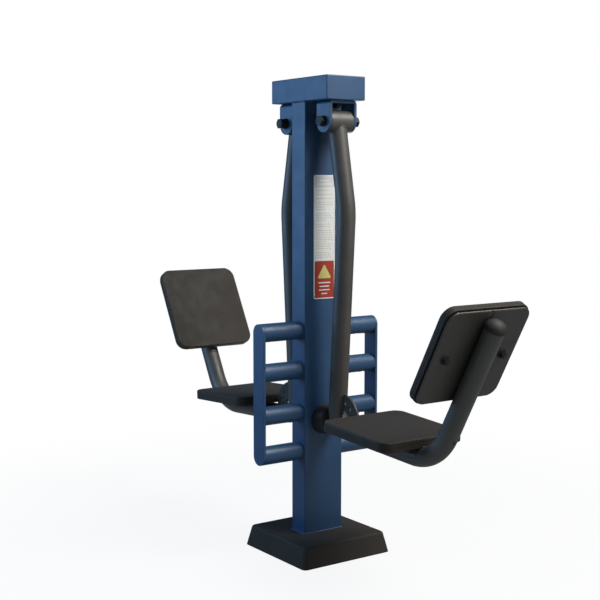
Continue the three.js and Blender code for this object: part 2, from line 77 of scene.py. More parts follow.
PIVOT = Vector(next(j["pos_m"] for j in frame["joints"] if j["name"] == "right_swing"))
SEAT_SIDE = 0.334
SEAT_THICKNESS = 0.036
SEAT_CORNER = 0.038
SEAT_MIDDLE_X = 0.409
SEAT_PLATE = {"side": 0.200, "thickness": 0.0047, "corner": 0.010}
BACK_SIDE = 0.334
BACK_THICKNESS = 0.0265
BACK_CORNER_RADIUS = 0.041
BACK_UP = 0.385
BOARD = {"side": 0.326, "thickness": 0.0095, "corner": 0.037}
CAP = {"radius": 0.0342, "skirt": 0.005, "dome": 0.027}
GAP = 0.0003
SEAM = 0.0008
FILM = 0.0001
ANCHOR = {"radius": 0.008, "washer": 0.015, "washer_thickness": 0.003, "across": 0.024, "head": 0.010}
PIVOT_PIN = {"radius": 0.0125, "across": 0.032, "head": 0.017, "nut": 0.026, "flange": 0.019,
             "flange_thickness": 0.003}
BRACKET_SCREW = {"radius": 0.008, "across": 0.024, "head": 0.010, "flange": 0.015,
                 "flange_thickness": 0.0025, "above": 0.026}
GUSSET = {"outer": 0.0885, "inner": 0.034, "thickness": 0.008, "hole_ring": 0.061, "hole": 0.0072,
          "hole_degrees": (19, 49, 79)}
STUD = {"across_board": 0.114, "down": 0.001, "washer": 0.015, "washer_thickness": 0.003,
        "across": 0.021, "nut": 0.014, "radius": 0.006, "from": 0.0130, "to": 0.016, "pitch": 0.00125}


# ---- plain geometry ---------------------------------------------------------------------------

class Shape:
    """Points and faces, before they become a piece."""

    def __init__(self, points=(), faces=()):
        self.points = [Vector(p) for p in points]
        self.faces = [tuple(f) for f in faces]

    def __add__(self, other):
        shift = len(self.points)
        moved = [tuple(i + shift for i in face) for face in other.faces]
        return Shape(self.points + other.points, self.faces + moved)

    def moved(self, matrix):
        return Shape([matrix @ p for p in self.points], self.faces)

    def bent(self, rule):
        return Shape([rule(p) for p in self.points], self.faces)


def rounded(corners, steps=6):
    """An outline from corners (x, y, radius), with each corner's arc in equal steps."""
    points = []
    for i, (x, y, radius) in enumerate(corners):
        corner = Vector((x, y))
        if radius <= 0:
            points.append(corner)
            continue
        back = (Vector(corners[i - 1][:2]) - corner).normalized()
        ahead = (Vector(corners[(i + 1) % len(corners)][:2]) - corner).normalized()
        half = back.angle(ahead) / 2
        middle = corner + (back + ahead).normalized() * radius / math.sin(half)
        start = corner + back * radius / math.tan(half) - middle
        end = corner + ahead * radius / math.tan(half) - middle
        first = math.atan2(start.y, start.x)
        turn = (math.atan2(end.y, end.x) - first + math.pi) % (2 * math.pi) - math.pi
        for k in range(steps + 1):
            angle = first + turn * k / steps
            points.append(middle + radius * Vector((math.cos(angle), math.sin(angle))))
    return points


def rectangle(width, height, corner, steps=6):
    x, y = width / 2, height / 2
    corners = [(x, y, corner), (-x, y, corner), (-x, -y, corner), (x, -y, corner)]
    return rounded(corners, steps)


def circle(radius, count, x=0.0, y=0.0):
    turns = [2 * math.pi * i / count for i in range(count)]
    return [Vector((x + radius * math.cos(a), y + radius * math.sin(a))) for a in turns]


def stack(rings, closed=False):
    """Skins rings of points that follow each other; a ring of one point closes an end."""
    points, faces, indices = [], [], []
    for ring in rings:
        indices.append(range(len(points), len(points) + len(ring)))
        points.extend(ring)
    count = max(len(ring) for ring in rings)
    pairs = list(zip(indices, indices[1:]))
    if closed:
        pairs.append((indices[-1], indices[0]))
    for a, b in pairs:
        for i in range(count):
            j = (i + 1) % count
            face = [a[i % len(a)], a[j % len(a)], b[j % len(b)], b[i % len(b)]]
            faces.append(tuple(dict.fromkeys(face)))
    return Shape(points, faces)


def level(outline, z):
    return [Vector((x, y, z)) for x, y in outline]


def turned(profile, closed=False, sides=SIDES, steps=4):
    """A turned piece round Z from corners (radius, height, rounding) of its profile."""
    rings = []
    for radius, height in rounded(profile, steps):
        if radius < 1e-7:
            rings.append([Vector((0, 0, height))])
        else:
            rings.append(level(circle(radius, sides), height))
    return stack(rings, closed)


def pipe(outer, inner, low, high, edge=0.0006):
    profile = [(outer, low, edge), (outer, high, edge), (inner, high, edge), (inner, low, edge)]
    return turned(profile, closed=True, steps=2)


def hexagon(across, low, high, chamfer_low=False, chamfer_high=True, per_side=8):
    """A hexagon bar whose ends are turned to the usual 30 degree chamfer."""
    flat = math.pi / 3
    reach = across / 2
    turns = [2 * math.pi * i / (6 * per_side) for i in range(6 * per_side)]
    radii = [reach / math.cos(a % flat - flat / 2) for a in turns]
    face = 0.95 * reach

    def ring(z, inward, chamfer):
        drops = [(r - face) * math.tan(math.radians(30)) if chamfer else 0 for r in radii]
        return [Vector((r * math.cos(a), r * math.sin(a), z + inward * d))
                for r, a, d in zip(radii, turns, drops)]

    def end(z):
        return [Vector((face * math.cos(a), face * math.sin(a), z)) for a in turns]

    rings = [[Vector((0, 0, low))], end(low), ring(low, 1, chamfer_low),
             ring(high, -1, chamfer_high), end(high), [Vector((0, 0, high))]]
    return stack(rings)


def threaded(radius, low, high, pitch):
    """The end of a screw: a groove for each turn and a chamfered tip."""
    depth = 0.3 * pitch
    profile = [(0, low, 0)]
    z = low
    while z < high - 1.5 * pitch:
        profile += [(radius, z, 0), (radius, z + pitch / 4, 0), (radius - depth, z + 0.6 * pitch, 0)]
        z += pitch
    profile += [(radius, z, 0), (radius, high - pitch / 2, 0), (radius - pitch / 2, high, 0),
                (0, high, 0)]
    return turned(profile)


def evaluated(data):
    """The shape that Blender makes of a curve, or of an object with modifiers."""
    maker = data if isinstance(data, bpy.types.Object) else bpy.data.objects.new("maker", data)
    if not maker.users_collection:
        bpy.context.scene.collection.objects.link(maker)
    graph = bpy.context.evaluated_depsgraph_get()
    mesh = bpy.data.meshes.new_from_object(maker.evaluated_get(graph))
    shape = Shape([v.co for v in mesh.vertices], [p.vertices for p in mesh.polygons])
    bpy.data.objects.remove(maker)
    bpy.data.meshes.remove(mesh)
    return shape


def plate(outline, thickness, edge, holes=(), steps=2):
    """A flat plate with rounded edges, drawn in XY and centred on z = 0."""
    curve = bpy.data.curves.new("outline", "CURVE")
    curve.dimensions = "2D"
    curve.fill_mode = "BOTH"
    curve.extrude = thickness / 2 - edge
    curve.bevel_depth = edge
    curve.bevel_resolution = steps
    curve.offset = -edge
    for loop in (outline, *holes):
        spline = curve.splines.new("POLY")
        spline.points.add(len(loop) - 1)
        for point, (x, y) in zip(spline.points, loop):
            point.co = (x, y, 0, 1)
        spline.use_cyclic_u = True
    return evaluated(curve)


def carved(shape, tool):
    """The shape with the tool's space taken out of it."""
    objects = []
    for label, part in (("carved", shape), ("tool", tool)):
        mesh = bpy.data.meshes.new(label)
        mesh.from_pydata([tuple(p) for p in part.points], [], part.faces)
        tidy_mesh(mesh)
        objects.append(bpy.data.objects.new(label, mesh))
        bpy.context.scene.collection.objects.link(objects[-1])
    cutter = objects[0].modifiers.new("cut", "BOOLEAN")
    cutter.operation = "DIFFERENCE"
    cutter.solver = "EXACT"
    cutter.object = objects[1]
    result = evaluated(objects[0])
    bpy.data.objects.remove(objects[1])
    return result


def sliced(shape, places):
    """The shape with its faces cut at planes square to X."""
    bm = bmesh.new()
    points = [bm.verts.new(p) for p in shape.points]
    for face in shape.faces:
        bm.faces.new([points[i] for i in face])
    bmesh.ops.remove_doubles(bm, verts=bm.verts, dist=1e-7)
    for x in places:
        bmesh.ops.bisect_plane(bm, geom=bm.verts[:] + bm.edges[:] + bm.faces[:], dist=1e-7,
                               plane_co=(x, 0, 0), plane_no=(1, 0, 0))
    bm.verts.index_update()
    result = Shape([v.co.copy() for v in bm.verts], [[v.index for v in f.verts] for f in bm.faces])
    bm.free()
    return result


def basis(x, y, z, place=(0, 0, 0)):
    """A matrix from where its three axes point and where its origin goes."""
    matrix = Matrix((x, y, z)).transposed().to_4x4()
    matrix.translation = Vector(place)
    return matrix


X, Y, Z = Vector((1, 0, 0)), Vector((0, 1, 0)), Vector((0, 0, 1))


def along(direction, place=(0, 0, 0)):
    """Turns a shape drawn round Z to run along a direction, from a place."""
    turn = Z.rotation_difference(Vector(direction)).to_matrix().to_4x4()
    turn.translation = Vector(place)
    return turn


STANDING = basis(X, Z, -Y)
FACING_X = basis(Y, Z, X)


def bead(path, axis, radius, closed=False, seed=1):
    """A weld bead: a small round rib with the ripples that the welder's pauses leave."""
    pitch, sides = 0.0042, 9
    rng = random.Random(seed)
    phase = rng.uniform(0, 2 * math.pi)
    rings = []
    travelled = 0
    for i, place in enumerate(path):
        before = path[i - 1] if closed or i else place
        after = path[(i + 1) % len(path)] if closed or i + 1 < len(path) else place
        heading = (after - before).normalized()
        out = heading.cross(Vector(axis)).normalized()
        up = out.cross(heading)
        travelled += (place - path[i - 1]).length if i else 0
        ripple = 1 + 0.13 * math.sin(2 * math.pi * travelled / pitch + phase) + rng.uniform(-0.04, 0.04)
        size = radius * ripple
        rings.append([place + size * (math.cos(a) * out + math.sin(a) * up)
                      for a in (2 * math.pi * k / sides for k in range(sides))])
    if not closed:
        rings = [[path[0]], *rings, [path[-1]]]
    return stack(rings, closed)


def line(start, end, spacing=0.001):
    start, end = Vector(start), Vector(end)
    count = max(2, round((end - start).length / spacing))
    return [start.lerp(end, i / count) for i in range(count + 1)]


def looped(corners):
    """A closed path along straight stretches, in steps of a millimetre."""
    sides = zip(corners, corners[1:] + corners[:1])
    return [point for start, end in sides for point in line(start, end)[:-1]]


def ring_path(radius, matrix, spacing=0.001):
    count = round(2 * math.pi * radius / spacing)
    return [matrix @ Vector((x, y, 0)) for x, y in circle(radius, count)]


# ---- materials --------------------------------------------------------------------------------

def node(tree, kind, **settings):
    made = tree.nodes.new(kind)
    for key, value in settings.items():
        if key in made.inputs:
            made.inputs[key].default_value = value
        else:
            setattr(made, key, value)
    return made


def noise(tree, place, scale, detail=3.0, roughness=0.5):
    made = node(tree, "ShaderNodeTexNoise", Scale=scale, Detail=detail, Roughness=roughness)
    tree.links.new(place.outputs["Object"], made.inputs["Vector"])
    return made.outputs["Fac"]


def between(tree, factor, low, high):
    """A number that goes from low to high as the factor goes from a third to two thirds."""
    made = node(tree, "ShaderNodeMapRange")
    made.inputs["From Min"].default_value = 0.33
    made.inputs["From Max"].default_value = 0.67
    made.inputs["To Min"].default_value = low
    made.inputs["To Max"].default_value = high
    tree.links.new(factor, made.inputs["Value"])
    return made.outputs["Result"]


def mixed(tree, factor, first, second):
    """A colour between two, each a colour or a socket."""
    made = node(tree, "ShaderNodeMix", data_type="RGBA")
    for socket, value in zip((made.inputs[6], made.inputs[7]), (first, second)):
        if isinstance(value, tuple):
            socket.default_value = (*value, 1)
        else:
            tree.links.new(value, socket)
    tree.links.new(factor, made.inputs[0])
    return made.outputs[2]


def scaled(colour, factor):
    return tuple(c * factor for c in colour)


def surface(slot, colour, roughness, grain, depth, patch=5.0, vary=0.12, cells=False, **shader):
    """A finish with patches of slightly different colour and gloss, and a fine relief.

    grain is the relief's features per metre, depth its height in metres. cells makes the relief
    of rounded cells, as on a moulded skin, instead of noise.
    """
    material = bpy.data.materials.new(slot)
    material.use_nodes = True
    tree = material.node_tree
    principled = tree.nodes["Principled BSDF"]
    for key, value in shader.items():
        principled.inputs[key.replace("_", " ")].default_value = value
    place = node(tree, "ShaderNodeTexCoord")
    patches = between(tree, noise(tree, place, patch, detail=5.0), 0, 1)
    specks = between(tree, noise(tree, place, grain * 0.3, detail=2.0), 0, 1)
    base = mixed(tree, patches, scaled(colour, 1 - vary), scaled(colour, 1 + vary))
    flecked = node(tree, "ShaderNodeMath", operation="MULTIPLY")
    flecked.inputs[1].default_value = 0.35
    tree.links.new(specks, flecked.inputs[0])
    base = mixed(tree, flecked.outputs[0], base, scaled(colour, 0.75))
    tree.links.new(base, principled.inputs["Base Color"])
    gloss = between(tree, noise(tree, place, patch * 4), roughness - 0.05, roughness + 0.06)
    tree.links.new(gloss, principled.inputs["Roughness"])
    if cells:
        relief = node(tree, "ShaderNodeTexVoronoi", feature="SMOOTH_F1", Scale=grain, Smoothness=0.6)
        tree.links.new(place.outputs["Object"], relief.inputs["Vector"])
        height = relief.outputs["Distance"]
    else:
        height = noise(tree, place, grain, detail=4.0, roughness=0.6)
    fine = node(tree, "ShaderNodeBump", Strength=1.0, Distance=depth)
    tree.links.new(height, fine.inputs["Height"])
    wave = node(tree, "ShaderNodeBump", Strength=1.0, Distance=depth * 4)
    tree.links.new(noise(tree, place, grain / 6, detail=2.0), wave.inputs["Height"])
    tree.links.new(wave.outputs["Normal"], fine.inputs["Normal"])
    tree.links.new(fine.outputs["Normal"], principled.inputs["Normal"])
    return slot, material


BLUE_PAINT = surface("blue_paint", (0.0200, 0.080, 0.186), 0.46, grain=700, depth=0.00006,
                     Specular_IOR_Level=0.72, Coat_Weight=0.06, Coat_Roughness=0.35)
GREY_PAINT = surface("grey_paint", (0.100, 0.093, 0.083), 0.46, grain=900, depth=0.00008,
                     Metallic=0.1, Specular_IOR_Level=0.6)
# The gussets take a darker copy of the grey paint: painted shade, for their broad faces that sit unlit
# beside the arm.
GUSSET_PAINTED_SHADE = surface("grey_paint", (0.058, 0.054, 0.049), 0.48, grain=900, depth=0.00008,
                       Metallic=0.1)
PAD_SKIN = surface("pad_skin", (0.0370, 0.0290, 0.0205), 0.58, grain=520, depth=0.00010, cells=True,
                   vary=0.04, Sheen_Weight=0.05, Sheen_Roughness=0.5, Specular_IOR_Level=0.33)
BLACK_PLASTIC = surface("black_plastic", (0.062, 0.055, 0.047), 0.45, grain=1100, depth=0.00005,
                        Specular_IOR_Level=0.65)
CAP_PLASTIC = surface("black_plastic", (0.030, 0.027, 0.023), 0.60, grain=1100, depth=0.00005)
COVER_PLASTIC = surface("black_plastic", (0.055, 0.048, 0.041), 0.60, grain=900, depth=0.00007,
                        Specular_IOR_Level=0.15)
BLACK_RUBBER = surface("black_rubber", (0.034, 0.032, 0.030), 0.50, grain=800, depth=0.00008)
BLACK_STEEL = surface("black_steel", (0.018, 0.016, 0.014), 0.46, grain=1400, depth=0.00003,
                      Metallic=0.2, Specular_IOR_Level=0.35)
NUT_STEEL = surface("black_steel", (0.042, 0.038, 0.034), 0.46, grain=1400, depth=0.00003,
                    Metallic=0.2, Specular_IOR_Level=0.35)
BEARING_STEEL = surface("bearing_steel", (0.55, 0.56, 0.57), 0.25, grain=1500, depth=0.00001,
                        vary=0.04, Metallic=1.0)
ZINC = surface("galvanised_steel", (0.42, 0.44, 0.45), 0.45, grain=160, depth=0.00005, cells=True,
               vary=0.15, Metallic=0.9)
SIGN_FACE = surface("sign_face", (0.95, 0.95, 0.92), 0.35, grain=900, depth=0.00001, vary=0.03)
SIGN_CREAM = surface("sign_face", (0.95, 0.95, 0.92), 0.35, grain=900, depth=0.00001, vary=0.05)
SIGN_GREY = surface("sign_face", (0.80, 0.80, 0.79), 0.35, grain=900, depth=0.00001, vary=0.05)
SIGN_RED = surface("sign_face", (0.45, 0.055, 0.03), 0.35, grain=900, depth=0.00001, vary=0.06)
SIGN_INK = surface("sign_face", (0.72, 0.70, 0.58), 0.4, grain=900, depth=0.00001, vary=0.05)
SIGN_YELLOW = surface("sign_face", (0.75, 0.68, 0.22), 0.35, grain=900, depth=0.00001, vary=0.05)


# ---- pieces -----------------------------------------------------------------------------------

def tidy_mesh(mesh):
    bm = bmesh.new()
    bm.from_mesh(mesh)
    bmesh.ops.remove_doubles(bm, verts=bm.verts, dist=1e-6)
    bmesh.ops.dissolve_degenerate(bm, edges=bm.edges, dist=1e-6)
    bmesh.ops.recalc_face_normals(bm, faces=bm.faces)
    bm.to_mesh(mesh)
    bm.free()


def make(name, shape, look, body, *nodes, sharp=40):
    """Makes a piece of a shape, gives it its finish and body, and hides the nodes that it stands for."""
    slot, material = look
    mesh = bpy.data.meshes.new(name)
    mesh.from_pydata([tuple(p) for p in shape.points], [], shape.faces)
    tidy_mesh(mesh)
    mesh.materials.append(material)
    mesh.shade_smooth()
    mesh.set_sharp_from_angle(angle=math.radians(sharp))
    piece = bpy.data.objects.new(name, mesh)
    bpy.context.scene.collection.objects.link(piece)
    normals = piece.modifiers.new("normals", "WEIGHTED_NORMAL")
    normals.keep_sharp = True
    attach(piece, body)
    if nodes:
        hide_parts(*nodes)
    return piece


def box(name):
    """A node's middle and size."""
    low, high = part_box(name)
    return (low + high) / 2, high - low


# ---- post, beam and base ----------------------------------------------------------------------

def square_tube(width, height, length):
    """A rectangular tube round Z, from 0 to its length."""
    outer = rectangle(width, height, POST_CORNER)
    inner = rectangle(width - 2 * POST_WALL, height - 2 * POST_WALL, POST_CORNER - POST_WALL)
    return stack([level(outer, 0), level(outer, length), level(inner, length), level(inner, 0)], True)


def post_and_beam():
    middle, size = box("post")
    post = square_tube(size.x, size.y, size.z)
    post = post.moved(Matrix.Translation((0, 0, middle.z - size.z / 2)))
    make("post_tube", post, BLUE_PAINT, "frame", "post")
    middle, size = box("cap_beam")
    beam = square_tube(size.y, size.z, size.x)
    beam = beam.moved(basis(Y, Z, X, (-size.x / 2, 0, middle.z)))
    make("beam_tube", beam, BLUE_PAINT, "frame", "cap_beam")
    for side in ("right", "left"):
        middle, size = box(f"beam_end_plate_{side}")
        edge, corner = 0.0034, 0.0045
        half = size.x / 2
        rings = [[Vector((0, 0, -half))], level(rectangle(size.y, size.z, corner), -half)]
        for k in range(7):
            angle = math.pi / 2 * k / 6
            inset = edge * (1 - math.cos(angle))
            outline = rectangle(size.y - 2 * inset, size.z - 2 * inset, corner - inset)
            rings.append(level(outline, half - edge * (1 - math.sin(angle))))
        rings.append([Vector((0, 0, half))])
        facing = FACING_X if side == "right" else basis(-Y, Z, -X)
        plate_shape = stack(rings).moved(Matrix.Translation(middle) @ facing)
        make(f"beam_{side}_plate", plate_shape, BLUE_PAINT, "frame", f"beam_end_plate_{side}")


def base():
    low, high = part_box("base_cover")
    bottom, height, wall, corner, edge, fit = high.x - low.x, high.z, 0.003, 0.017, 0.008, 0.001
    top = bottom - 0.030
    lean = (bottom - top) / 2 / height

    def side(z, inset=0.0):
        width = bottom - 2 * (lean * z + inset)
        return level(rectangle(width, width, corner - inset, 8), z)

    rings = [side(0, wall), side(0, 0.0008), side(0.0008)]
    for k in range(7):
        angle = math.radians(15 * k)
        rings.append(side(height - edge * (1 - math.sin(angle)), edge * (1 - math.cos(angle))))
    _, post_size = box("post")
    for grow, z in ((fit + 0.001, height), (fit, height - 0.001), (fit, height - wall)):
        hole = rectangle(post_size.x + 2 * grow, post_size.y + 2 * grow, POST_CORNER + grow, 8)
        rings.append(level(hole, z))
    rings += [side(height - wall, wall + edge / 2), side(height - wall - edge / 2, wall)]
    make("foot_cover", stack(rings, closed=True), COVER_PLASTIC, "frame", "base_cover")
    around = rectangle(post_size.x + 0.0024, post_size.y + 0.0024, POST_CORNER, 4)
    fillet = looped([Vector((x, y, height + 0.0002)) for x, y in around])
    make("foot_weld", bead(fillet, Z, 0.0022, True, seed=4), BLUE_PAINT, "frame")
    for i in range(1, 5):
        middle, _ = box(f"anchor_bolt_{i}")
        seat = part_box("base_plate")[1].z + GAP
        radius, washer, top_of_washer = ANCHOR["radius"], ANCHOR["washer"], seat + ANCHOR["washer_thickness"]
        bolt = turned([(0, 0.0005, 0), (radius, 0.0005, 0.0005), (radius, seat, 0), (washer, seat, 0.0004),
                       (washer, top_of_washer, 0.0008), (0, top_of_washer, 0)])
        bolt += hexagon(ANCHOR["across"], top_of_washer - 0.0001, top_of_washer + ANCHOR["head"])
        make(f"anchor_{i}", bolt.moved(Matrix.Translation((middle.x, middle.y, 0))), ZINC, "frame",
             f"anchor_bolt_{i}")
    frame["nodes"]["base_plate"].material_slots[0].material = ZINC[1]


# ---- foot ladders -----------------------------------------------------------------------------

def ladder(side):
    middle, size = box(f"{side}_ladder_strip")
    outline = rectangle(size.x, size.z, size.x / 2 - 1e-5, 24)
    flat = plate(outline, size.y, 0.0012)
    make(f"{side}_strip", flat.moved(Matrix.Translation(middle) @ STANDING), BLUE_PAINT, "frame",
         f"{side}_ladder_strip")
    welds = Shape()
    for i in range(1, 5):
        middle, size = box(f"{side}_rung_{i}")
        rung = pipe(TUBE_RADIUS, TUBE_RADIUS - TUBE_WALL, -size.y / 2, size.y / 2, 0.0002)
        make(f"{side}_foot_rung_{i}", rung.moved(along(Y, middle)), BLUE_PAINT, "frame",
             f"{side}_rung_{i}")
        near_post = middle - Vector((0, math.copysign(size.y / 2 - 0.0006, middle.y), 0))
        welds += bead(ring_path(TUBE_RADIUS + 0.0006, along(Y, near_post)), Y, 0.0024, True, seed=i)
    make(f"{side}_ladder_welds", welds, BLUE_PAINT, "frame")


# ---- pivots -----------------------------------------------------------------------------------

def bracket(side, turn):
    """The bent U bracket, made flat with round ends and then bent round its two corners."""
    middle, size = box("right_pivot_bracket")
    top = middle.z + size.z / 2
    width, outer_half = size.x, size.y / 2
    mean = BRACKET_BEND - BRACKET_THICKNESS / 2
    web = outer_half - BRACKET_BEND
    bend_end = web + mean * math.pi / 2
    ear = top - BRACKET_BEND - PIVOT.z
    reach = bend_end + ear + width / 2
    flat = plate(rectangle(2 * reach, width, width / 2 - 1e-5, 32), BRACKET_THICKNESS, 0.0012)
    steps = 10
    places = [web + (bend_end - web) * k / steps for k in range(steps + 1)]
    flat = sliced(flat, places + [-p for p in places])
    centre_z = top - BRACKET_BEND

    def bend(p):
        s, t, way = abs(p.x), p.z, math.copysign(1, p.x)
        if s <= web:
            return Vector((PIVOT.x + p.y, p.x, centre_z + mean + t))
        if s <= bend_end:
            angle = (s - web) / mean
            y = web + (mean + t) * math.sin(angle)
            return Vector((PIVOT.x + p.y, way * y, centre_z + (mean + t) * math.cos(angle)))
        return Vector((PIVOT.x + p.y, way * (web + mean + t), centre_z - (s - bend_end)))

    make(f"{side}_bracket", flat.bent(bend).moved(turn), BLUE_PAINT, "frame", f"{side}_pivot_bracket")


def flanged_hexagon(sizes, height):
    """A hexagon on its flange: the flange's underside is at z = 0 and the hexagon points up."""
    across, flange, flange_thickness = sizes["across"], sizes["flange"], sizes["flange_thickness"]
    rim = [(0, 0, 0), (flange, 0, 0.0004), (flange, 0.45 * flange_thickness, 0.0008),
           (across / 2, flange_thickness, 0), (0, flange_thickness, 0)]
    return turned(rim) + hexagon(across, 0.8 * flange_thickness, flange_thickness + height)


def pivot(side, turn):
    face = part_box("right_pivot_bracket")[1].y + GAP
    head = flanged_hexagon(PIVOT_PIN, PIVOT_PIN["head"])
    radius, tip, end = PIVOT_PIN["radius"], 0.001, face + 0.030
    shank = turned([(0, -face, 0), (radius, -face, 0), (radius, end - tip, 0), (radius - tip, end, 0),
                    (0, end, 0)])
    shank = shank.moved(along(Y, PIVOT))
    bolt = shank + head.moved(along(-Y, PIVOT - Vector((0, face, 0))))
    make(f"{side}_pivot_bolt_head", bolt.moved(turn), BLACK_STEEL, "frame", f"{side}_pivot_bolt")
    nut = flanged_hexagon(PIVOT_PIN, PIVOT_PIN["nut"]).moved(along(Y, PIVOT + Vector((0, face, 0))))
    make(f"{side}_pivot_flange_nut", nut.moved(turn), BLACK_STEEL, "frame", f"{side}_pivot_nut")
    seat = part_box("right_pivot_bracket")[1].z - BRACKET_THICKNESS - GAP
    radius, above = BRACKET_SCREW["radius"], BRACKET_SCREW["above"]
    bolt = flanged_hexagon(BRACKET_SCREW, BRACKET_SCREW["head"]).moved(along(-Z, (PIVOT.x, 0, seat)))
    bolt += turned([(0, 0, 0), (radius, 0, 0), (radius, above, 0.001), (0, above, 0)]).moved(
        Matrix.Translation((PIVOT.x, 0, seat)))
    make(f"{side}_bracket_screw", bolt.moved(turn), BLACK_STEEL, "frame", f"{side}_bracket_bolt")


def hub(side, turn):
    body = f"{side}_swing_frame"
    _, size = box("right_hub")
    half = size.y / 2
    tube = pipe(size.z / 2, 0.031, -half, half, 0.001)
    make(f"{side}_hub_tube", tube.moved(turn @ along(Y, PIVOT)), GREY_PAINT, body, f"{side}_hub")
    for place in ("rear", "front"):
        middle, size = box(f"{side}_bearing_{place}")
        outer, inner, deep, width = 0.0307, 0.0128, 0.001, size.y / 2
        land = 0.0035
        edge, seal_outer, seal_inner = 0.0005, outer - land, inner + land
        profile = [(outer, -width, edge), (outer, width, edge), (seal_outer, width, 0),
                   (seal_outer, width - deep, 0), (seal_inner, width - deep, 0), (seal_inner, width, 0),
                   (inner, width, edge), (inner, -width, edge), (seal_inner, -width, 0),
                   (seal_inner, deep - width, 0), (seal_outer, deep - width, 0), (seal_outer, -width, 0)]
        race = turned(profile, closed=True)
        make(f"{side}_ball_bearing_{place}", race.moved(along(Y, middle)), BEARING_STEEL, body,
             f"{side}_bearing_{place}")


def bumper(side, turn):
    middle, size = box("right_bumper")
    thickness, back = size.x, size.z / 2
    front, edge, rim, dish = 0.0465, 0.005, 0.0355, 0.003
    bore, recess, recess_radius = 0.0055, 0.015, 0.0130
    profile = [(bore, 0, 0), (back, 0, 0.002), (front, thickness, edge), (rim, thickness, 0.002),
               (rim - dish, thickness - dish, 0.001), (recess_radius + 0.001, thickness - dish, 0.0015),
               (recess_radius, thickness - recess, 0.001), (bore, thickness - recess, 0)]
    rubber = turned(profile, closed=True, steps=6)
    place = turn @ along(X, (middle.x - thickness / 2, 0, middle.z))
    make(f"{side}_stop_bumper", rubber.moved(place), BLACK_RUBBER, "frame", f"{side}_bumper")
    seat = thickness - recess + GAP
    radius, inside, washer, washer_top = 0.005, 0.012, 0.011, seat + 0.002
    bolt = turned([(0, -inside, 0), (radius, -inside, 0.001), (radius, seat, 0), (washer, seat, 0.0003),
                   (washer, washer_top, 0.0006), (0, washer_top, 0)])
    bolt += hexagon(0.016, washer_top - 0.0002, washer_top + 0.007)
    make(f"{side}_bumper_screw", bolt.moved(place), BLACK_STEEL, "frame", f"{side}_bumper_bolt")


# ---- swing frames -----------------------------------------------------------------------------

def slope(start, end):
    return math.atan2(end[1] - start[1], end[0] - start[0])


ARM_SLOPE = slope(FRONT_CORNER, KNEE)
SEAT_SLOPE = slope(FRONT_CORNER, BACK_CORNER)
BACK_SLOPE = slope(BACK_CORNER, TUBE_END)


def heading(angle):
    return Vector((math.cos(angle), 0, math.sin(angle)))


def bent_tube(radius, upper_end=None):
    """The bent tube; with upper_end, its top is shaped to fit round the hub of that radius."""
    start = (PIVOT.x, PIVOT.z, 0)
    route = rounded([start, KNEE, FRONT_CORNER, BACK_CORNER, TUBE_END], 24)
    rings = []
    for i, place in enumerate(route):
        ahead = route[min(i + 1, len(route) - 1)] - place
        back = place - route[max(i - 1, 0)]
        flow = (ahead.normalized() + back.normalized()).normalized()
        along_path = Vector((flow.x, 0, flow.y))
        square = Y.cross(along_path)
        centre = Vector((place.x, 0, place.y))
        ring = []
        for k in range(SIDES):
            angle = 2 * math.pi * k / SIDES
            across = radius * math.cos(angle)
            point = centre + across * square + radius * math.sin(angle) * Y
            if i == 0 and upper_end:
                point += along_path * math.sqrt(upper_end ** 2 - across ** 2)
            ring.append(point)
        rings.append(ring)
    return rings


def swing_tube(side, turn, body):
    hub_radius = box("right_hub")[1].z / 2
    outer = bent_tube(TUBE_RADIUS, hub_radius - 0.001)
    inner = bent_tube(TUBE_RADIUS - TUBE_WALL, hub_radius - 0.001)
    skin = stack(outer + inner[::-1], closed=True)
    make(f"{side}_bent_tube", skin.moved(turn), GREY_PAINT, body, f"{side}_swing_tube")
    saddle = []
    down = heading(slope((PIVOT.x, PIVOT.z), KNEE))
    square = Y.cross(down)
    for x, y in circle(TUBE_RADIUS, 220):
        reach = math.sqrt((hub_radius + 0.0002) ** 2 - x ** 2)
        saddle.append(PIVOT + x * square + y * Y + reach * down)
    return bead(saddle, down, 0.0020, True, seed=3)


def gusset(side, turn, body):
    """The quarter ring in the front bend, and the beads along its two straight edges."""
    outer, inner, thickness = GUSSET["outer"], GUSSET["inner"], GUSSET["thickness"]
    half = (ARM_SLOPE - SEAT_SLOPE) / 2
    reach = (TUBE_RADIUS + GAP) / math.sin(half)
    centre = Vector((FRONT_CORNER[0], 0, FRONT_CORNER[1])) + reach * heading((ARM_SLOPE + SEAT_SLOPE) / 2)
    steps = 40
    turns = [SEAT_SLOPE + 2 * half * k / steps for k in range(steps + 1)]
    outline = [outer * Vector((math.cos(a), math.sin(a))) for a in turns]
    outline += [inner * Vector((math.cos(a), math.sin(a))) for a in reversed(turns)]
    holes = []
    for degrees in GUSSET["hole_degrees"]:
        angle = SEAT_SLOPE + math.radians(degrees)
        x, y = GUSSET["hole_ring"] * math.cos(angle), GUSSET["hole_ring"] * math.sin(angle)
        holes.append(circle(GUSSET["hole"], 40, x, y))
    web = plate(outline, thickness, 0.0009, holes)
    web = web.moved(turn @ Matrix.Translation(centre) @ STANDING)
    # The plate takes the darker copy of the grey paint, which is painted shade.
    make(f"{side}_gusset_plate", web, GUSSET_PAINTED_SHADE, body, f"{side}_gusset")
    welds = Shape()
    for i, angle in enumerate((SEAT_SLOPE, ARM_SLOPE)):
        for face in (-1, 1):
            start = centre + (inner + 0.002) * heading(angle) + face * (thickness / 2 + 0.0006) * Y
            end = start + (outer - inner - 0.004) * heading(angle)
            welds += bead(line(start, end), Y, 0.0026, seed=5 + i)
    return welds


def over_tube(point, angle, height):
    """Where a board lies over the tube: X along it, Z away from it, height above its centre line."""
    up = heading(angle + math.pi / 2)
    return basis(heading(angle), Y, up, point + height * up)


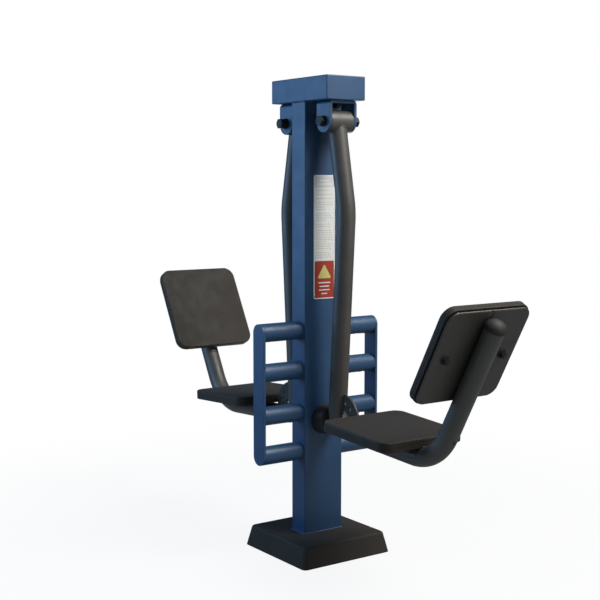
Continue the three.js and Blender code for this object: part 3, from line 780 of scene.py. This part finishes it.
def cushion(side, thickness, corner, edge, lower_edge, crown):
    """A moulded pad whose top is at z = 0: round edges, a parting line and a crowned top."""
    rings = [[Vector((0, 0, -thickness))]]

    def ring(inset, z, scale=1.0):
        width = side - 2 * inset
        outline = rectangle(width, width, max(corner - inset, 0.004), 10)
        return level([scale * p for p in subdivided(outline)], z)

    for scale in (0.25, 0.5, 0.75):
        rings.append(ring(lower_edge, -thickness, scale))
    for k in range(5):
        angle = math.pi / 2 * k / 4
        rise = lower_edge * (1 - math.cos(angle))
        rings.append(ring(lower_edge * (1 - math.sin(angle)), -thickness + rise))
    parting = -0.62 * thickness
    groove = 0.0005
    for inset, z in ((0, parting - groove), (groove, parting - groove / 3), (groove, parting + groove / 3),
                     (0, parting + groove)):
        rings.append(ring(inset, z))
    for k in range(9):
        angle = math.pi / 2 * k / 8
        rings.append(ring(edge * (1 - math.cos(angle)), -crown - edge * (1 - math.sin(angle))))
    for k in range(1, 24):
        scale = 1 - k / 24
        rings.append(ring(edge, -crown * scale ** 2, scale))
    rings.append([Vector((0, 0, 0))])
    return stack(rings)


def subdivided(outline, spacing=0.012, shortest=0.05):
    """The outline with its long stretches cut into short ones."""
    points = []
    for i, point in enumerate(outline):
        following = outline[(i + 1) % len(outline)]
        length = (following - point).length
        count = round(length / spacing) if length > shortest else 1
        points += [point.lerp(following, k / count) for k in range(count)]
    return points


def seat(side, turn, body):
    front = Vector((FRONT_CORNER[0], 0, FRONT_CORNER[1]))
    middle = front + (SEAT_MIDDLE_X - front.x) / math.cos(SEAT_SLOPE) * heading(SEAT_SLOPE)
    plate_top = TUBE_RADIUS + GAP + SEAT_PLATE["thickness"]
    flat = plate(rectangle(SEAT_PLATE["side"], SEAT_PLATE["side"], SEAT_PLATE["corner"]),
                 SEAT_PLATE["thickness"], 0.0006)
    place = over_tube(middle, SEAT_SLOPE, plate_top - SEAT_PLATE["thickness"] / 2)
    make(f"{side}_seat_mount", flat.moved(turn @ place), GREY_PAINT, body, f"{side}_seat_plate")
    lying = over_tube(middle, SEAT_SLOPE, plate_top + GAP + SEAT_THICKNESS)
    form = cushion(SEAT_SIDE, SEAT_THICKNESS, SEAT_CORNER, edge=0.0065, lower_edge=0.003, crown=0.0025)
    form = form.moved(lying)
    relief = bent_tube(TUBE_RADIUS + 0.001)
    tool = stack([[relief[0][0].lerp(relief[0][SIDES // 2], 0.5)], *relief,
                  [relief[-1][0].lerp(relief[-1][SIDES // 2], 0.5)]])
    pad = make(f"{side}_seat_cushion", carved(form, tool).moved(turn), PAD_SKIN, body,
               f"{side}_seat_pad", sharp=50)
    welds = Shape()
    offset = 0.0095
    drop = math.sqrt(TUBE_RADIUS ** 2 - offset ** 2)
    for way in (-1, 1):
        ends = [middle + run * heading(SEAT_SLOPE) + (drop + 0.0008) * heading(SEAT_SLOPE + math.pi / 2)
                + way * offset * Y for run in (-0.080, 0.080)]
        welds += bead(line(*ends), Y, 0.0024, seed=20 + way)
    return welds


def backrest(side, turn, body):
    corner = Vector((BACK_CORNER[0], 0, BACK_CORNER[1]))
    middle = corner + BACK_UP * heading(BACK_SLOPE)
    face = TUBE_RADIUS + GAP + BOARD["thickness"]
    width, thickness = BOARD["side"], BOARD["thickness"]

    def ring(inset, z):
        side_length = width - 2 * inset
        return level(rectangle(side_length, side_length, BOARD["corner"] - inset, 12), z)

    edge = 0.0042
    rings = [[Vector((0, 0, -thickness))]]
    for k in range(7):
        angle = math.pi / 2 * k / 6
        rings.append(ring(edge * (1 - math.sin(angle)), -thickness + edge * (1 - math.cos(angle))))
    lip, groove = -0.0048, 0.006
    rings += [ring(0, lip), ring(groove, lip), ring(groove, 0), [Vector((0, 0, 0))]]
    placed = over_tube(middle, BACK_SLOPE, face)
    tube_end = Vector((TUBE_END[0], 0, TUBE_END[1]))
    room = CAP["radius"] + GAP
    cap_space = turned([(0, 0, 0), (room, 0, 0), (room, 0.1, 0), (0, 0.1, 0)]).moved(
        along(heading(BACK_SLOPE), tube_end - (CAP["skirt"] + 0.001) * heading(BACK_SLOPE)))
    board = carved(stack(rings).moved(placed), cap_space)
    make(f"{side}_back_shell", board.moved(turn), BLACK_PLASTIC, body, f"{side}_back_board")
    lying = over_tube(middle, BACK_SLOPE, face + SEAM + BACK_THICKNESS)
    form = cushion(BACK_SIDE, BACK_THICKNESS, BACK_CORNER_RADIUS, edge=0.0035, lower_edge=0.0020,
                   crown=0.0022)
    pad = make(f"{side}_back_cushion", form.moved(turn @ lying), PAD_SKIN, body,
               f"{side}_back_pad", sharp=50)
    washer, low = STUD["washer"], -STUD["washer_thickness"]
    nut = turned([(0, 0, 0), (washer, 0, 0.0005), (washer, low, 0.0010), (0, low, 0)])
    nut += hexagon(STUD["across"], -STUD["nut"], low + 0.0005, chamfer_low=True, chamfer_high=False)
    thread = threaded(STUD["radius"], STUD["from"], STUD["to"], STUD["pitch"])
    nut += thread.moved(Matrix.Rotation(math.pi, 4, "X"))
    on_board = over_tube(middle - STUD["down"] * heading(BACK_SLOPE), BACK_SLOPE, TUBE_RADIUS)
    for place, y in (("rear", STUD["across_board"]), ("front", -STUD["across_board"])):
        placed = turn @ Matrix.Translation((0, y, 0)) @ on_board
        make(f"{side}_back_stud_{place}", nut.moved(placed), NUT_STEEL, body, f"{side}_back_nut_{place}")


def tube_plugs(side, turn, body):
    radius, skirt, dome = CAP["radius"], CAP["skirt"], CAP["dome"]
    plug_radius, plug_depth, bevel, skirt_inside = 0.02625, 0.020, 0.002, 0.03255
    profile = [(0, -plug_depth), (plug_radius - bevel, -plug_depth), (plug_radius, bevel - plug_depth),
               (plug_radius, GAP), (skirt_inside, GAP), (skirt_inside, -skirt)]
    lip = radius - skirt_inside
    for k in range(1, 6):
        angle = math.pi / 2 * k / 5
        rise = 1.5 * lip * (1 - math.cos(angle))
        profile.append((radius - lip + lip * math.sin(angle), -skirt + rise))
    for k in range(15):
        angle = math.pi / 2 * k / 14
        profile.append((radius * math.cos(angle) if k < 14 else 0, dome * math.sin(angle)))
    cap = turned([(r, h, 0) for r, h in profile])
    end = Vector((TUBE_END[0], 0, TUBE_END[1]))
    make(f"{side}_tube_cap", cap.moved(turn @ along(heading(BACK_SLOPE), end)), CAP_PLASTIC, body,
         f"{side}_end_cap")
    run = BACK_CORNER[2] * math.tan((BACK_SLOPE - SEAT_SLOPE) / 2)
    corner = Vector((BACK_CORNER[0], 0, BACK_CORNER[1]))
    shank, head, tip = 0.0045, 0.0055, 0.0035
    inside, skin, rim, proud = 0.030, 0.0320, 0.0345, 0.0367
    plug = turned([(0, inside, 0), (shank, inside, 0), (shank, skin, 0), (head, skin, 0.0002),
                   (head, rim, 0.001), (tip, proud, 0.001), (0, proud, 0)])
    outward = heading(BACK_SLOPE - math.pi / 2)
    place = turn @ along(outward, corner + run * heading(BACK_SLOPE))
    make(f"{side}_drain_stopper", plug.moved(place), BLACK_PLASTIC, body, f"{side}_drain_plug")


# ---- sign -------------------------------------------------------------------------------------

def sign():
    """A generic sign: plain bars and a plain triangle in place of words and pictures."""
    low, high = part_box("sign")
    width, bottom, top, face = high.y - low.y, low.z, high.z, high.x
    board = plate(rectangle(width, top - bottom, 0.007, 8), high.x - low.x, 0.0003)
    place = Matrix.Translation((low + high) / 2) @ FACING_X
    make("sign_plate", board.moved(place), SIGN_FACE, "frame", "sign")

    def printing(outline):
        return plate(outline, FILM, FILM / 5, steps=0)

    def on_face(y, z, layer=2):
        return Matrix.Translation((face + FILM * layer, y, z)) @ FACING_X

    def printed(name, z, tall, look, corner=0.001):
        make(name, printing(rectangle(inner, tall, corner, 4)).moved(on_face(0, z, 1)), look, "frame")

    inner = width - 0.008
    header, footer = top - 0.042, bottom + 0.131
    rim = 0.004
    printed("sign_header", (header + top - rim) / 2, top - header - rim, SIGN_GREY, 0.004)
    printed("sign_body", (header + footer) / 2, header - footer - rim / 2, SIGN_CREAM)
    printed("sign_footer", (footer + bottom + rim) / 2, footer - bottom - rim, SIGN_RED, 0.004)
    rng = random.Random(7)
    rows = Shape()
    z = header - 0.010
    while z > footer + 0.008:
        y, last = -0.44 * inner, 0.44 * inner - rng.choice((0, 0, 0.01, 0.03))
        while y < last - 0.006:
            length = min(rng.uniform(0.006, 0.016), last - y)
            bar = printing(rectangle(length, 0.0026, 0.0008, 2))
            rows += bar.moved(on_face(y + length / 2, z))
            y += length + 0.0028
        z -= 0.0078 + 0.006 * (rng.random() < 0.15)
    make("sign_rows", rows, SIGN_INK, "frame")
    rows = Shape()
    for k, share in enumerate((0.62, 0.5, 0.56, 0.3)):
        bar = printing(rectangle(inner * share, 0.0036, 0.001, 2))
        rows += bar.moved(on_face(0, bottom + 0.056 - 0.0125 * k))
    for k, share in enumerate((0.52, 0.74)):
        bar = printing(rectangle(inner * share, 0.0050, 0.001, 2))
        rows += bar.moved(on_face(0, top - 0.019 - 0.0115 * k))
    make("sign_white_rows", rows, SIGN_FACE, "frame")
    triangle = [(0.030, -0.024, 0.004), (0, 0.026, 0.004), (-0.030, -0.024, 0.004)]
    shape = printing(rounded(triangle, 5)).moved(on_face(0, bottom + 0.095))
    make("sign_triangle", shape, SIGN_YELLOW, "frame")


# ---- the whole --------------------------------------------------------------------------------

def station(side, turn):
    body = f"{side}_swing_frame"
    bracket(side, turn)
    pivot(side, turn)
    hub(side, turn)
    bumper(side, turn)
    welds = swing_tube(side, turn, body) + gusset(side, turn, body) + seat(side, turn, body)
    make(f"{side}_swing_welds", welds.moved(turn), GREY_PAINT, body)
    backrest(side, turn, body)
    tube_plugs(side, turn, body)


def beam_weld():
    _, size = box("post")
    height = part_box("cap_beam")[0].z - 0.0008
    outline = rectangle(size.x + 0.0012, size.y + 0.0012, POST_CORNER, 4)
    fillet = looped([Vector((x, y, height)) for x, y in outline])
    make("beam_weld", bead(fillet, Z, 0.003, True, seed=2), BLUE_PAINT, "frame")


post_and_beam()
base()
for ladder_side in ("front", "rear"):
    ladder(ladder_side)
beam_weld()
sign()
station("right", Matrix.Identity(4))
station("left", Matrix.Rotation(math.pi, 4, "Z"))

# ---- floor, light and camera ------------------------------------------------------------------


def floor():
    side = 40.0
    mesh = bpy.data.meshes.new("floor")
    corners = [(-side, -side, 0), (side, -side, 0), (side, side, 0), (-side, side, 0)]
    mesh.from_pydata(corners, [], [(0, 1, 2, 3)])
    made = bpy.data.objects.new("floor", mesh)
    bpy.context.scene.collection.objects.link(made)
    material = bpy.data.materials.new("floor")
    material.use_nodes = True
    tree = material.node_tree
    shader = tree.nodes["Principled BSDF"]
    shader.inputs["Base Color"].default_value = (0.9, 0.9, 0.9, 1)
    shader.inputs["Roughness"].default_value = 0.9
    shader.inputs["Specular IOR Level"].default_value = 0.0
    # Away from the object the floor turns into the white of the background.
    place = node(tree, "ShaderNodeTexCoord")
    reach = node(tree, "ShaderNodeVectorMath", operation="LENGTH")
    tree.links.new(place.outputs["Object"], reach.inputs[0])
    fade = node(tree, "ShaderNodeMapRange", interpolation_type="SMOOTHSTEP")
    fade.inputs["From Min"].default_value = 0.7
    fade.inputs["From Max"].default_value = 2.4
    fade.inputs["To Min"].default_value = 0.90
    tree.links.new(reach.outputs["Value"], fade.inputs["Value"])
    white = node(tree, "ShaderNodeEmission", Color=(1, 1, 1, 1), Strength=1.0)
    choice = node(tree, "ShaderNodeMixShader")
    tree.links.new(fade.outputs["Result"], choice.inputs["Fac"])
    tree.links.new(shader.outputs[0], choice.inputs[1])
    tree.links.new(white.outputs[0], choice.inputs[2])
    tree.links.new(choice.outputs[0], tree.nodes["Material Output"].inputs["Surface"])
    mesh.materials.append(material)
    made.visible_diffuse = False
    made.visible_glossy = False
    made.visible_shadow = False


SKY_LOW = (0.24, 0.27, 0.28)
SKY_SIDE = (0.01, 0.02, 0.05)
SKY_HIGH = (0.13, 0.165, 0.21)


def world():
    """White behind the object; a dimmer sky lights it, dark at the sides, brighter above and below."""
    made = bpy.data.worlds.new("studio")
    made.use_nodes = True
    tree = made.node_tree
    output = tree.nodes["World Output"]
    sky = tree.nodes["Background"]
    place = node(tree, "ShaderNodeTexCoord")
    parts = node(tree, "ShaderNodeSeparateXYZ")
    tree.links.new(place.outputs["Generated"], parts.inputs[0])
    height = node(tree, "ShaderNodeMapRange")
    height.inputs["From Min"].default_value = -1.0
    tree.links.new(parts.outputs["Z"], height.inputs["Value"])
    ramp = node(tree, "ShaderNodeValToRGB")
    ramp.color_ramp.elements[0].color = (*SKY_LOW, 1)
    ramp.color_ramp.elements[0].position = 0.36
    ramp.color_ramp.elements[1].color = (*SKY_HIGH, 1)
    middle = ramp.color_ramp.elements.new(0.42)
    middle.color = (*SKY_SIDE, 1)
    tree.links.new(height.outputs["Result"], ramp.inputs["Fac"])
    tree.links.new(ramp.outputs["Color"], sky.inputs["Color"])
    white = node(tree, "ShaderNodeBackground", Color=(1, 1, 1, 1), Strength=1.0)
    choice = node(tree, "ShaderNodeMixShader")
    rays = node(tree, "ShaderNodeLightPath")
    tree.links.new(rays.outputs["Is Camera Ray"], choice.inputs["Fac"])
    tree.links.new(sky.outputs[0], choice.inputs[1])
    tree.links.new(white.outputs[0], choice.inputs[2])
    tree.links.new(choice.outputs[0], output.inputs["Surface"])
    bpy.context.scene.world = made


def softbox(name, place, target, size, power, colour):
    data = bpy.data.lights.new(name, "AREA")
    data.size = size
    data.energy = power
    data.color = colour
    lamp = bpy.data.objects.new(name, data)
    bpy.context.scene.collection.objects.link(lamp)
    lamp.location = place
    lamp.rotation_euler = (Vector(target) - Vector(place)).to_track_quat("-Z", "Y").to_euler()


def camera():
    azimuth, elevation = math.radians(54.95), math.radians(5.64)
    aim, distance = Vector((0, -0.073, 0.8894)), 4.0057
    back = Vector((math.sin(azimuth) * math.cos(elevation), -math.cos(azimuth) * math.cos(elevation),
                   math.sin(elevation)))
    data = bpy.data.cameras.new("camera")
    data.lens = 69.68
    data.sensor_width = 36
    made = bpy.data.objects.new("camera", data)
    bpy.context.scene.collection.objects.link(made)
    made.location = aim + distance * back
    made.rotation_euler = (-back).to_track_quat("-Z", "Y").to_euler()
    bpy.context.scene.camera = made


floor()
world()
softbox("key", (1.6, 1.15, 3.5), (0, 0, 1.0), 1.5, 72, (1.0, 1.0, 0.97))
softbox("key_low", (2.3, 1.05, 3.1), (0, 0, 1.0), 1.5, 34, (1.0, 0.99, 0.94))
softbox("front", (3.2, 0.9, 1.0), (0, 0, 0.9), 2.4, 10, (1.0, 0.88, 0.80))
softbox("side", (-1.6, -2.1, 1.65), (0, 0, 1.2), 2.0, 41, (0.33, 0.61, 1.0))
softbox("back", (-2.2, 2.0, -0.35), (0, 0, 1.1), 0.7, 26, (1.0, 0.98, 0.95))
camera()
bpy.context.scene.view_settings.view_transform = "Standard"
